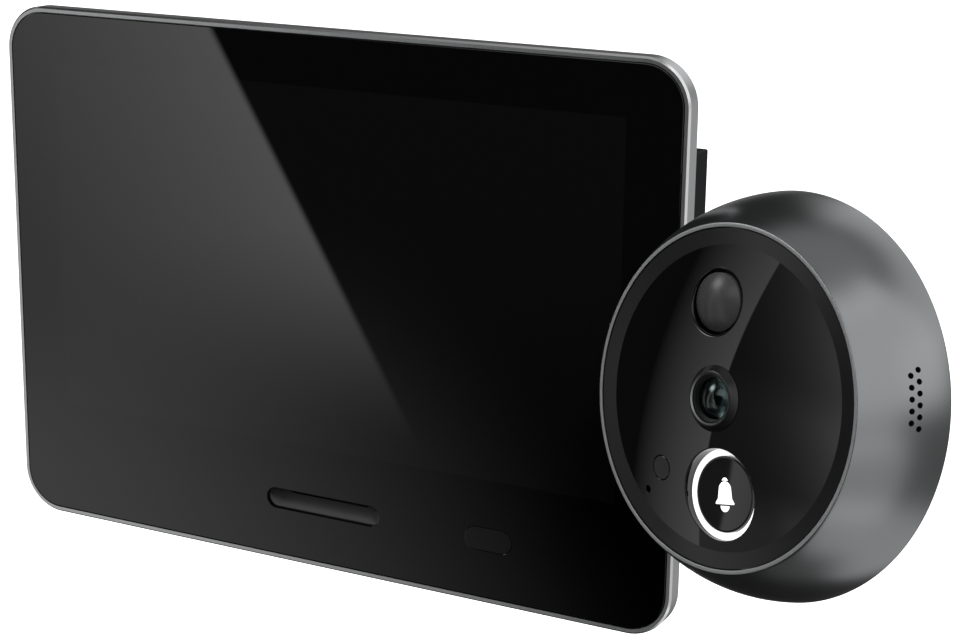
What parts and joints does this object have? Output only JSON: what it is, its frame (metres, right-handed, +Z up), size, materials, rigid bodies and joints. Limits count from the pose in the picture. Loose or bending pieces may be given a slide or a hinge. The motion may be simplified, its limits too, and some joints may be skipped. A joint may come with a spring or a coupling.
{
  "type": "peephole door camera",
  "caption": "Door camera in two units: a flat indoor monitor that hangs on a door bracket, and a round outdoor camera with a motion sensor, a lens and a lit doorbell button.",
  "frame": {"origin": "centre of the bracket's face that lies against the door, behind the monitor's centre", "axes": "+Z up, +Y into the door, so the monitor's screen faces -Y and +X is to the viewer's right"},
  "size_m": [0.1565, 0.0568, 0.081],
  "materials": {
    "cover_glass": "gloss black cover glass",
    "frame_metal": "satin anodised frame with a polished edge",
    "case_plastic": "dark moulded plastic",
    "camera_metal": "satin gunmetal",
    "gloss_trim": "gloss black moulded trim",
    "sensor_plastic": "dark satin sensor dome",
    "lens_black": "black anodised lens barrel",
    "lens_glass": "coated lens glass",
    "lit_white": "lit white diffuser",
    "soft_black": "soft black rubber or foam",
    "inner_plastic": "plain inner moulding",
    "socket_plastic": "ivory connector plastic",
    "display": "display panel",
    "board": "green circuit board",
    "ribbon": "amber flexible ribbon",
    "chip": "dark chip package",
    "battery_wrap": "wrapped battery cell",
    "steel": "bright steel",
    "brass": "turned brass"
  },
  "bodies": {
    "door_side": {"door_bracket": "steel", "camera_housing": "camera_metal", "face_plate": "cover_glass", "pir_lens": "sensor_plastic", "pir_sensor": "steel", "lens_bezel": "gloss_trim", "lens_barrel": "lens_black", "lens_front_glass": "lens_glass", "lens_rear_glass": "lens_glass", "lens_holder": "inner_plastic", "image_sensor": "chip", "camera_board": "board", "button_light_ring": "lit_white", "bell_switch": "steel", "ring_leds": "lit_white", "light_window": "gloss_trim", "light_sensor": "chip", "outdoor_microphone": "steel", "microphone_boot": "soft_black", "outdoor_speaker": "inner_plastic", "speaker_mesh": "steel", "rear_plate": "case_plastic", "rear_gasket": "soft_black", "rear_screws": "steel", "threaded_inserts": "brass", "cable_grommet": "soft_black", "adhesive_pad": "soft_black"},
    "indoor_unit": {"front_glass": "cover_glass", "display_gasket": "soft_black", "speaker_trough": "gloss_trim", "indicator_window": "gloss_trim", "front_frame": "frame_metal", "lcd_module": "display", "display_ribbon": "ribbon", "rear_shell": "case_plastic", "main_board": "board", "processor_shield": "steel", "board_screws": "steel", "battery_pack": "battery_wrap", "indoor_speaker": "inner_plastic", "indoor_microphone": "steel", "indicator_led": "lit_white", "power_switch": "inner_plastic", "charge_socket": "steel", "ribbon_socket": "socket_plastic", "case_screws": "steel"},
    "bell_button": {"button_cap": "gloss_trim", "bell_symbol": "lit_white", "switch_plunger": "inner_plastic"},
    "power_key": {"power_button": "case_plastic"}
  },
  "joints": [
    {"name": "monitor_lift", "type": "slide", "parent": "door_side", "child": "indoor_unit", "axis": [0, 0, 1], "range_m": [0, 0.005]},
    {"name": "bell_press", "type": "slide", "parent": "door_side", "child": "bell_button", "axis": [0.3886, 0.9083, -0.1549], "range_m": [0, 0.0007], "stiffness_N_per_m": 800, "springref_m": -0.002},
    {"name": "power_press", "type": "slide", "parent": "indoor_unit", "child": "power_key", "axis": [0, 0, 1], "range_m": [0, 0.0005], "stiffness_N_per_m": 800, "springref_m": -0.002}
  ]
}
